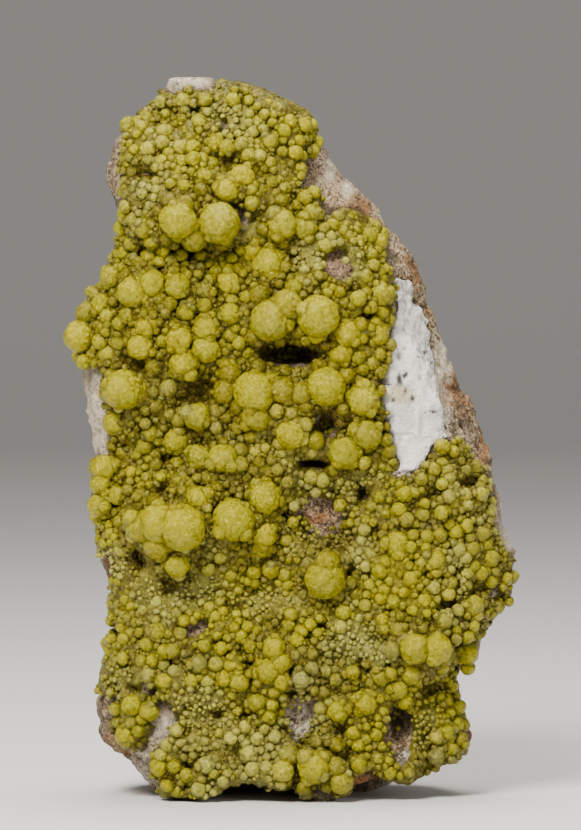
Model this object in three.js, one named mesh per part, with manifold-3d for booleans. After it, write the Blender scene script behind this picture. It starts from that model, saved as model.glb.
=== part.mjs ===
// A pyromorphite specimen: a thick plate of vuggy, iron-stained rock that stands on its broken lower edge,
// with a crust of rounded yellow-green nodules over its front and a seam of white mineral on its right face.
// Millimetres, +Z up, seen from the front along +Y. The origin is on the surface, mid-footprint.
import * as THREE from "three";
import { mergeVertices } from "three/addons/utils/BufferGeometryUtils.js";
import Module from "manifold-3d";

const wasm = await Module();
wasm.setup();

// Driving dimensions
const EDGE_ROUNDING = 8; // how far in from the side edges the front and back reach their full depth
const EDGE_POWER = 2.4; // higher is a squarer edge
const SIDE_PLANE = 1.5; // how far behind the middle the side edges lie
const FRONT_COLUMNS = 10;
const BACK_COLUMNS = 5;
const ROUGHNESS = 0.5; // jitter of the broken rock
const CRUST_LUMPS = 1; // the crust's skin rises by up to this between its nodules
const CRUST_THICKNESS = 1.3;
const CRUST_BACK = [[0, -1.5, 50], [0.03, 1, 0.02]]; // the crust wraps round the edges to this plane
const NODULE_SEAT = 0.9; // how far above the rock a nodule's seat lies
const NODULE_STANDS_OUT = 0.2; // share of its radius by which a nodule's centre stands above its seat
const SEAM_PROUD = 0.5;
const SEAM_DEPTH = 2;
const GAP = 0.3; // left between neighbouring pieces
const CRUST_CLEARANCE = 0.4; // the crust ends this far above the surface, which only the rock touches
const LARGE_NODULE = 2.35; // nodules of this radius or more get finer facets
const PATCH_SIDES = 9;
const FAR = 80; // past the whole specimen

// Levels up the rock, each [height, left edge, right edge, depth of the back]
const LEVELS = [
  [-1.5, -18.4, 9.5, 13.2],
  [1.4, -19.9, 14, 14.8],
  [4.6, -23, 22.5, 16.2],
  [8, -26.6, 25.8, 17.6],
  [12.5, -27.8, 24.2, 18.2],
  [17, -26.6, 22.8, 18.4],
  [21.5, -25.6, 25.4, 18.2],
  [25, -25.2, 28, 18.2],
  [29.5, -25.6, 31, 18],
  [34, -27, 32, 17.8],
  [39.5, -27, 31, 17.4],
  [45, -27.5, 29, 17],
  [50, -27.9, 28.4, 16.8],
  [55, -28.6, 26, 16.5],
  [60, -29.5, 23.4, 16.2],
  [65, -30, 20.9, 15.6],
  [70, -28.6, 19.4, 15.2],
  [74, -26.2, 18.3, 14.6],
  [77.5, -24.8, 16.8, 14],
  [81, -24.6, 14, 13.6],
  [85, -25, 10.4, 13.2],
  [89, -25.9, 6.2, 12.4],
  [93, -25.2, 4.6, 11.4],
  [97, -21.4, 2.4, 10.2],
  [100, -18.2, -4.4, 8.2],
  [102, -17.2, -11.8, 5.8],
];
const TOP = 102.6;
const FRONT_DEPTH = 10.3; // of the rock's front before its swells and hollows

// Swells (+) and hollows (-) of the rock's front: [across, up, half-width, half-height, height]
const RELIEF = [
  [-14, 82.5, 11, 4.6, 3], // lower lip of the top knob
  [-15, 77.3, 10, 2.4, -4.6], // step under the knob
  [-12, 99, 18, 8, -5], // the knob leans back at the top
  [0, 84, 6, 6, -1.6],
  [-20, 71, 8, 5, 1.6],
  [0, 70, 9, 4.6, 3.4], // swell over the dark slot
  [-3, 57.5, 8, 4.4, 2.8], // swell under it
  [8, 56, 6, 6, 2],
  [-24, 58.5, 4, 3.6, 2.4],
  [-27, 62, 5, 16, -2.4], // left flank falls away
  [-13, 59, 3.6, 5, -2],
  [-19, 49, 6, 3.4, -2.6],
  [-26, 45, 4, 4, 1.4],
  [-17, 39, 6.5, 5, 4], // swell under the largest nodules
  [-5.5, 41, 5, 5, 2.8],
  [4, 46.4, 6, 2.4, -1.8],
  [6.4, 40.4, 6, 4.4, -2.8], // bare pinkish hollow
  [5, 32, 4, 3.4, 1.6],
  [-9, 29.4, 15, 3, -1.8],
  [18, 37, 9, 7, 1.2],
  [31, 35, 7, 14, -4.5], // right flank falls away
  [18, 22.4, 7, 4, 2.2],
  [21, 11, 8, 8, -4], // thin lower right lobe
  [-6, 19.5, 14, 4, 1.2],
  [1.4, 12, 4, 3.4, -1.6],
  [3, 5, 6, 4, 2],
  [-14, 5, 6, 4, 1.4],
  [-25, 11, 6, 7, -2.6],
];
// The bare right face slopes back to the right-hand edge between these heights
const SLOPE_LOW = 44;
const SLOPE_HIGH = 97;
const SLOPE_RATE = 1.35; // depth lost per mm towards the edge
const SLOPE_EDGE_DEPTH = 1;

// Pits cut into rock and crust: [across, up, half-width, half-height, half-depth, tilt in degrees]
const PITS = [
  [-0.6, 63.6, 5.2, 2.3, 8, -6],
  [4.9, 53.2, 2.3, 2.7, 5, 15],
  [3, 48, 2.9, 1.4, 6, 0],
  [10.3, 43.8, 1.9, 1.8, 5, 30],
  [-15.4, 78.2, 4.4, 1.3, 5, -8],
  [-21.2, 34.4, 1.4, 2.3, 5, 25],
  [-21, 89.1, 2.8, 1.2, 3.5, -10],
  [15.2, 10.6, 1.9, 3.4, 4, 12],
];

// Bare patches of rock that the crust leaves open, as outlines on the front
const BARE_RIGHT_FACE = [
  [4.2, 96], [4.1, 91], [4.4, 87.5], [4.6, 84.5], [9.6, 83.2], [13.4, 80.6], [15.2, 77], [15, 70],
  [13.8, 66], [13.3, 60], [13.2, 56], [14.6, 51], [14.6, 48], [13, 46.2], [17.5, 45.6], [18.6, 48], [20, 50.8],
  [23.6, 51.2], [24.8, 48.5], [25.6, 46], [28.4, 45.2], [30.2, 41], [30.6, 37], [31.3, 33.4],
  [42, 33], [42, 96],
];
const BARE_CORNER = [
  [-34, 15.5], [-28, 15], [-26.2, 13.4], [-25.8, 10.5], [-26.8, 8.6], [-24.8, 7], [-22.4, 7], [-20.6, 5.2],
  [-19.6, 2.6], [-18.4, 1], [-18.4, -2], [-34, -2],
];
const BARE_LEFT_EDGE = [[-40, 61.5], [-29.2, 61.2], [-27.2, 56], [-26.6, 50], [-26.8, 48.8], [-40, 48.6]];
const BARE_TOP = [[-20, 106], [-18.6, 100.4], [-15.6, 100.6], [-12.4, 101], [-11, 106]];
const BARE_PATCHES = [
  [4.4, 40.9, 3.8, 2.5, -8], // pinkish granular rock: [across, up, half-width, half-height, tilt in degrees]
  [15.4, 8.6, 2.1, 4.6, 8],
  [-18.2, 11.6, 2, 2.8, -25],
  [1.4, 12.2, 2.1, 2.7, 20],
];
const WHITE_SEAM = [
  [14.6, 73.6], [16.4, 73.3], [17, 70.6], [18.3, 68.6], [19, 66], [19.2, 63.8], [19.8, 60], [20.3, 57],
  [21.2, 54], [21.8, 51.8], [19.8, 50.4], [18.4, 48.4], [16.4, 46.6], [14.2, 46.4], [15.2, 48.4],
  [14.8, 51.2], [13.7, 54.5], [13.6, 60], [14.1, 65], [15.2, 69.5],
];

// Nodules on the front, region by region, each [across, up, radius]
const NODULES = {
  knob: [
    [-10.3, 82.2, 2.9], [-15.9, 82.4, 2.9], [-13, 80.2, 1.9], [-23.3, 83.1, 1.8], [-7, 88.7, 1.9],
    [-10.5, 93.3, 1.8], [-2.2, 94.2, 1.7],
  ],
  underKnob: [[-2, 82.3, 2.4], [1.7, 81.9, 1.9], [-5.3, 78.4, 2], [-3.2, 76.2, 2.5]],
  rightShoulder: [[11.7, 80.6, 1.6], [12.5, 72.2, 1.9]],
  upperLeft: [
    [-30.2, 65.9, 2.6], [-29.1, 69.2, 1.6], [-26.8, 70.3, 1.7], [-25.6, 74.2, 1.8],
    [-22.4, 72.4, 2.3], [-19.7, 73.6, 2.1], [-16.1, 73.2, 1.95], [-21.4, 64.6, 1.95],
  ],
  centreLeft: [[-16.2, 65.9, 2.1], [-12, 67.6, 2], [-12.1, 64.4, 2.2], [-15.3, 62.3, 2.1]],
  centre: [
    [-0.6, 70.8, 2.3], [-3, 68.5, 3], [3.7, 69.1, 3.1], [7.8, 66.6, 2.1], [11.8, 66.4, 1.8],
    [-5.2, 58.5, 3.1], [-5, 54.9, 2.2], [-9.3, 58.4, 1.9], [-1.3, 58.6, 1.9],
    [4.9, 59.1, 2.9], [10.1, 57.2, 2.4], [10.6, 52.6, 2.3], [0, 52.6, 2.4], [7.5, 49.8, 2.3],
  ],
  lowerLeft: [
    [-23.9, 58.6, 2.9], [-13.4, 54.8, 2.05], [-16.4, 51.2, 1.8], [-25, 53.8, 1.9],
    [-13, 48.9, 1.9], [-9.8, 48.9, 2.2],
  ],
  leftEdge: [[-26.4, 47.1, 2.1], [-26.9, 44.9, 1.7], [-27.2, 41.9, 1.75]],
  bigCluster: [[-15.4, 39.3, 3.5], [-18.7, 39.8, 3], [-21.4, 39.4, 2.3], [-18.6, 36.8, 2.2], [-16.2, 34, 2]],
  middleCluster: [[-4, 43.4, 2.6], [-8, 40.3, 3.1], [-4, 38, 2.1], [4.7, 31.8, 3]],
  rightField: [
    [21.6, 47.4, 1.9], [14.9, 36.8, 1.85], [22.6, 37.6, 1.7], [28.3, 33.6, 1.8], [31.3, 31.2, 1.5],
    [25.7, 27.7, 1.85],
  ],
  lowerRight: [
    [17.2, 21.9, 2.3], [20.5, 22.2, 2.4], [25.1, 20.3, 1.8], [13.2, 18, 1.7], [10.4, 14.1, 1.85],
    [6.7, 13, 1.7],
  ],
  lowerMiddle: [[-2.2, 22, 1.6], [-3.5, 19.1, 1.8], [-0.8, 18.4, 1.7]],
  lowerLeftField: [[-19.2, 18, 1.6], [-13, 19.9, 1.5], [-23.4, 9.4, 1.9]],
  foot: [[9.5, 5.5, 1.6], [6.5, 4.6, 1.9], [3.4, 5.1, 2.4], [-0.6, 6, 1.7], [-18.5, 5.4, 1.6]],
};
// Nodules that the crust carries round its left edge and over its top: [across, depth, up, radius]
const EDGE_NODULES = [
  [-28.6, -2.6, 72, 1.5], [-30.4, -2.4, 62.6, 1.5], [-27.8, -2.4, 40, 1.4], [-25.8, -2.4, 22, 1.5],
  [-23.4, -1.8, 95.6, 1.4], [-7.4, -1.8, 100.6, 1.4],
];

// The broken lower edge: what is missing under the front, which leaves it two feet, as outlines on the front
const UNDERCUTS = [
  [[-13.6, -4], [-13.6, 0.7], [-11, 1.7], [-9.4, 3.2], [-4, 3.5], [0.6, 2.2], [2.9, 0.8], [3.1, -4]],
  [[6.4, -4], [6.4, 0.8], [8.4, 2], [12.6, 3.9], [16, 3.6], [21, 4.4], [34, 4.6], [34, -4]],
  [[-34, -4], [-34, 4], [-24, 4.2], [-21.4, 2.4], [-19.4, 0.8], [-19.2, -4]],
];
const UNDERCUT_BACK = [[0, 4, 0], [0.1, 1, 0.7]]; // they end at this plane, before the heel
// Planes that broke the rock's back and lower edge into flat facets: [point, outward direction]
const BREAKS = [
  [[0, 18.3, 30], [0.04, 1, 0.03]],
  [[-20, 13.5, 40], [-0.75, 0.85, 0.05]],
  [[18, 13, 30], [0.8, 0.8, 0.1]],
  [[-8, 12.6, 84], [-0.12, 1, 0.36]],
  [[0, 16, 7], [0.1, 0.85, -0.7]],
];

// A steady pseudo-random number from 0 to 1 for a whole number
function chance(n) {
  const s = Math.sin(n * 127.1 + 11.7) * 43758.5453;
  return s - Math.floor(s);
}

function smoothMin(a, b, width) {
  const h = Math.max(width - Math.abs(a - b), 0) / width;
  return Math.min(a, b) - (h * h * width) / 4;
}

// A value of the levels' table at a height
function levelValue(column, up) {
  const next = LEVELS.findIndex((level) => level[0] >= up);
  if (next < 0) return LEVELS[LEVELS.length - 1][column];
  if (next === 0) return LEVELS[0][column];
  const [low, high] = [LEVELS[next - 1], LEVELS[next]];
  return THREE.MathUtils.mapLinear(up, low[0], high[0], low[column], high[column]);
}

// How far the rock's front stands before the middle, away from its edges
function frontDepth(across, up) {
  let depth = FRONT_DEPTH;
  for (const [x, z, halfWidth, halfHeight, height] of RELIEF) {
    const away = ((across - x) / halfWidth) ** 2 + ((up - z) / halfHeight) ** 2;
    depth += height * Math.exp(-away);
  }
  if (up > SLOPE_LOW && up < SLOPE_HIGH) {
    const begins = THREE.MathUtils.smoothstep(up, SLOPE_LOW, SLOPE_LOW + 6);
    const slope = SLOPE_EDGE_DEPTH + SLOPE_RATE * (levelValue(2, up) - across);
    depth = THREE.MathUtils.lerp(depth, smoothMin(depth, slope, 3), begins);
  }
  return depth;
}

// The share of its full depth that a face has at some distance in from a side edge
function edgeShare(inward, rounding) {
  const t = THREE.MathUtils.clamp(inward / rounding, 0, 1);
  return (1 - (1 - t) ** EDGE_POWER) ** (1 / EDGE_POWER);
}

// A closed body through the levels, grown outwards by the amount given, with lumps on top of that
function rockBody(grow, lumps = 0) {
  const points = [];
  const loops = LEVELS.map(([up, left, right, back], row) => {
    const [lo, hi] = [left - grow, right + grow];
    const rounding = Math.min(EDGE_ROUNDING, (hi - lo) / 2);
    const loop = [];
    for (let i = 0; i < FRONT_COLUMNS + BACK_COLUMNS; i++) {
      const front = i < FRONT_COLUMNS;
      const turn = front ? i / FRONT_COLUMNS : 1 - (i - FRONT_COLUMNS) / BACK_COLUMNS;
      const x = THREE.MathUtils.lerp(lo, hi, (1 - Math.cos(Math.PI * turn)) / 2);
      const share = edgeShare(Math.min(x - lo, hi - x), rounding);
      const depth = front ? frontDepth(x, up) + grow + SIDE_PLANE : back + grow - SIDE_PLANE;
      const wobble = ROUGHNESS * (chance(row * 97 + i * 13) - 0.5) + lumps * chance(row * 41 + i * 29);
      loop.push(points.length);
      points.push([x, SIDE_PLANE + (front ? -1 : 1) * (depth + wobble) * share, up]);
    }
    return loop;
  });
  return bodyThrough(points, loops, [LEVELS[0][0] - grow, TOP + grow]);
}

// Joins stacked loops of points into one closed geometry with a fan over each end
function bodyThrough(points, loops, endHeights) {
  const faces = [];
  for (let row = 0; row + 1 < loops.length; row++) {
    loops[row].forEach((a, i) => {
      const next = (i + 1) % loops[row].length;
      const [b, c, d] = [loops[row][next], loops[row + 1][next], loops[row + 1][i]];
      faces.push(a, b, c, a, c, d);
    });
  }
  [loops[0], loops[loops.length - 1]].forEach((loop, end) => {
    const middle = points.length;
    const sum = loop.reduce((total, i) => [total[0] + points[i][0], total[1] + points[i][1]], [0, 0]);
    points.push([sum[0] / loop.length, sum[1] / loop.length, endHeights[end]]);
    loop.forEach((a, i) => {
      const b = loop[(i + 1) % loop.length];
      faces.push(...(end ? [a, b, middle] : [b, a, middle]));
    });
  });
  const geometry = new THREE.BufferGeometry();
  geometry.setAttribute("position", new THREE.Float32BufferAttribute(points.flat(), 3));
  return geometry.setIndex(faces);
}

// A closed geometry as a solid that can be joined and cut
function solid(geometry) {
  const bare = geometry.clone();
  bare.deleteAttribute("normal");
  bare.deleteAttribute("uv");
  const merged = mergeVertices(bare, 1e-4);
  const mesh = new wasm.Mesh({
    numProp: 3,
    vertProperties: merged.attributes.position.array,
    triVerts: new Uint32Array(merged.index.array),
  });
  return new wasm.Manifold(mesh);
}

function union(solids) {
  return solids.reduce((joined, one) => joined.add(one));
}

// Only the largest body of a solid: what a cut leaves loose is dropped
function largest(cut) {
  return cut.decompose().reduce((a, b) => (a.volume() >= b.volume() ? a : b));
}

// An outline on the front, carried through the whole depth
function through(outline) {
  const shape = new THREE.Shape(outline.map(([x, z]) => new THREE.Vector2(x, z)));
  const geometry = new THREE.ExtrudeGeometry(shape, { depth: 2 * FAR, bevelEnabled: false });
  return solid(geometry.rotateX(Math.PI / 2).translate(0, FAR, 0));
}

// An outline with every corner moved outwards, so that its sides lie at a distance from the old ones
function grown(outline, by) {
  const corners = outline.map(([x, z]) => new THREE.Vector2(x, z));
  const outwards = THREE.ShapeUtils.isClockWise(corners) ? -1 : 1;
  const sideNormal = (a, b) => new THREE.Vector2(b.y - a.y, a.x - b.x).normalize().multiplyScalar(outwards);
  return corners.map((corner, i) => {
    const before = corners[(i + corners.length - 1) % corners.length];
    const after = corners[(i + 1) % corners.length];
    const normal = sideNormal(before, corner).add(sideNormal(corner, after));
    return corner.clone().addScaledVector(normal, (2 * by) / normal.lengthSq()).toArray();
  });
}

// An uneven oval outline
function ellipse([x, z, halfWidth, halfHeight, tilt]) {
  return Array.from({ length: PATCH_SIDES }, (_, i) => {
    const turn = (2 * Math.PI * i) / PATCH_SIDES;
    const reach = 0.88 + 0.24 * chance(i + Math.round(x * 10));
    const corner = new THREE.Vector2(halfWidth * Math.cos(turn), halfHeight * Math.sin(turn));
    corner.multiplyScalar(reach).rotateAround(new THREE.Vector2(), THREE.MathUtils.degToRad(tilt));
    return [x + corner.x, z + corner.y];
  });
}

// A faceted ball turned a different way for each seed
function ball(radius, seed) {
  const geometry = new THREE.IcosahedronGeometry(radius, radius >= LARGE_NODULE ? 1 : 0);
  return geometry.rotateX(6 * chance(seed)).rotateZ(6 * chance(seed + 0.5));
}

function ellipsoid([x, y, z], halfSizes, tilt = 0) {
  const geometry = new THREE.IcosahedronGeometry(1, 1).scale(...halfSizes);
  return solid(geometry.rotateY(THREE.MathUtils.degToRad(-tilt)).translate(x, y, z));
}

// The half of space behind a plane, as a large block
function behind([point, direction]) {
  const facing = new THREE.Quaternion().setFromUnitVectors(
    new THREE.Vector3(0, 0, 1),
    new THREE.Vector3(...direction).normalize(),
  );
  const block = new THREE.BoxGeometry(4 * FAR, 4 * FAR, 2 * FAR).translate(0, 0, -FAR);
  return solid(block.applyQuaternion(facing).translate(...point));
}

function aboveSurface(height) {
  return behind([[0, 0, height], [0, 0, -1]]);
}

function pit([x, z, halfWidth, halfHeight, halfDepth, tilt]) {
  return ellipsoid([x, -frontDepth(x, z) - CRUST_THICKNESS, z], [halfWidth, halfDepth, halfHeight], tilt);
}

// Where a nodule read off the front sits: on the rock's front, kept in from its side edges
function nodule([x, z, radius], index) {
  const [lo, hi] = [levelValue(1, z), levelValue(2, z)];
  const seatX = THREE.MathUtils.clamp(x, lo + radius, hi - radius);
  const rounding = Math.min(EDGE_ROUNDING, (hi - lo) / 2);
  const share = edgeShare(Math.min(seatX - lo, hi - seatX), rounding);
  const seat = (frontDepth(seatX, z) + SIDE_PLANE) * share - SIDE_PLANE + NODULE_SEAT;
  return solid(ball(radius, index).translate(x, -seat - NODULE_STANDS_OUT * radius, z));
}

function rock(openings) {
  const broken = BREAKS.reduce((body, plane) => body.intersect(behind(plane)), solid(rockBody(0)));
  return largest(broken.intersect(aboveSurface(0)).subtract(openings));
}

function crust(openings, rockWithGap) {
  const skin = solid(rockBody(CRUST_THICKNESS, CRUST_LUMPS)).intersect(behind(CRUST_BACK));
  const bareOutlines = [BARE_RIGHT_FACE, BARE_CORNER, BARE_LEFT_EDGE, BARE_TOP, ...BARE_PATCHES.map(ellipse)];
  const bare = union(bareOutlines.map(through));
  const onFront = Object.values(NODULES).flat().map(nodule);
  const onEdge = EDGE_NODULES.map(([x, y, z, radius], i) => solid(ball(radius, i).translate(x, y, z)));
  const grownTogether = union([skin.subtract(bare).subtract(openings), ...onFront, ...onEdge]);
  return largest(grownTogether.intersect(aboveSurface(CRUST_CLEARANCE)).subtract(rockWithGap));
}

function seam(outline, proud, depth) {
  return through(outline).intersect(solid(rockBody(proud))).subtract(solid(rockBody(-depth)));
}

function mesh(name, body, color, roughness) {
  const { vertProperties, triVerts } = body.getMesh();
  const geometry = new THREE.BufferGeometry();
  geometry.setAttribute("position", new THREE.BufferAttribute(vertProperties, 3));
  geometry.setIndex(new THREE.BufferAttribute(triVerts, 1));
  geometry.computeVertexNormals();
  const made = new THREE.Mesh(geometry, new THREE.MeshStandardMaterial({ color, roughness, metalness: 0 }));
  made.name = name;
  return made;
}

const frontHalf = behind([[0, SIDE_PLANE - 1, 0], [0, 1, 0]]); // where the front face can carry the seam
const seamBed = seam(grown(WHITE_SEAM, GAP), SEAM_PROUD + GAP, SEAM_DEPTH + GAP).intersect(frontHalf);
const whiteSeam = largest(seam(WHITE_SEAM, SEAM_PROUD, SEAM_DEPTH).intersect(frontHalf));
const undercut = union(UNDERCUTS.map(through)).intersect(behind(UNDERCUT_BACK));
const openings = union([...PITS.map(pit), seamBed, undercut]);
const matrixRock = rock(openings);
const noduleCrust = crust(openings, solid(rockBody(GAP)));

const specimen = new THREE.Group();
specimen.name = "pyromorphite_specimen";
specimen.add(mesh("matrix_rock", matrixRock, 0xa8957a, 0.95));
specimen.add(mesh("white_seam", whiteSeam, 0xe4e2da, 0.9));
specimen.add(mesh("pyromorphite_crust", noduleCrust, 0xa8a626, 0.45));
export default specimen;
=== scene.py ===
# A pyromorphite specimen: waxy yellow-green nodules crusted over the front of an upright plate of rock.
# Shapes are worked out in millimetres in the CAD model's frame, and made in metres.
import itertools
import math

import bmesh
import bpy
import numpy as np
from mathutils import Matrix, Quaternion, Vector
from mathutils.bvhtree import BVHTree
from mathutils.kdtree import KDTree


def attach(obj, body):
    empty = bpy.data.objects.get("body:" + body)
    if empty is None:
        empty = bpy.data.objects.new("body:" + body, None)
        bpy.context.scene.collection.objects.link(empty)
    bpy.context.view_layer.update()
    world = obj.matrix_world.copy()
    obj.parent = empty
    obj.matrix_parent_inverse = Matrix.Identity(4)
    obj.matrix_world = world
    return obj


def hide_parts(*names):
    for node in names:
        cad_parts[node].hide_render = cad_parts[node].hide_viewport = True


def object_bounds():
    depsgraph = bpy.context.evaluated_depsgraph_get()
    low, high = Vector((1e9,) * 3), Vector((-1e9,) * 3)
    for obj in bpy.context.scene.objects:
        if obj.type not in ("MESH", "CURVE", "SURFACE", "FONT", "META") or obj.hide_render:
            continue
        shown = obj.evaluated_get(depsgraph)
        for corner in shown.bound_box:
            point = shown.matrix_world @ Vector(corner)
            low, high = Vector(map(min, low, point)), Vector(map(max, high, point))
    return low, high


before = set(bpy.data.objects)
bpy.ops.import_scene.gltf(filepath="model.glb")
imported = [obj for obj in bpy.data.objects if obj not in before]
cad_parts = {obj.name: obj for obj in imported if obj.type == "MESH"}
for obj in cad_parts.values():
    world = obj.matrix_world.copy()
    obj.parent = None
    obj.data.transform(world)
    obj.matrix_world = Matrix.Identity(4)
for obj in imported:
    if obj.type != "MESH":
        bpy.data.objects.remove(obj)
cad_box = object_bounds()

MM = 0.001
LOW, HIGH = (np.array(corner) / MM for corner in cad_box)

# How the crust is built up, in mm
BED_RISE = 1.0  # the druse between the nodules stands this far above the rock
NODULE_SEAT = 0.9  # a listed nodule's seat lies this far above the rock
NODULE_STANDS_OUT = 0.2  # share of its radius by which its centre stands above its seat
CRUST_REACH = 1.0  # rock within this distance of the CAD crust is covered
SATELLITE_PARENT = 1.25  # nodules of at least this radius carry smaller ones on their flanks
SEAM_GROWTH = 0.45  # the white seam is this much wider than in the CAD, to meet the rock beside it
FLOOR_CLEARANCE = 0.3  # nothing of the crust reaches lower
EDGE_ON = -0.6  # a surface whose outward direction has a y above this is seen edge-on, or faces back
SHARP_ANGLE = 38.0  # creases between nodules steeper than this, in degrees, stay sharp
SUNKEN_REACH = 3.2  # a nodule is sunken when one this near stands higher
VOXELS = {"matrix_rock": 0.62, "white_seam": 0.33, "druse": 0.53}  # how finely each shape is meshed
BANDS = (-1.0, 21.0, 36.5, 50.0, 66.0, 80.0, 110.0)  # heights at which the crust is parted into pieces

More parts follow.
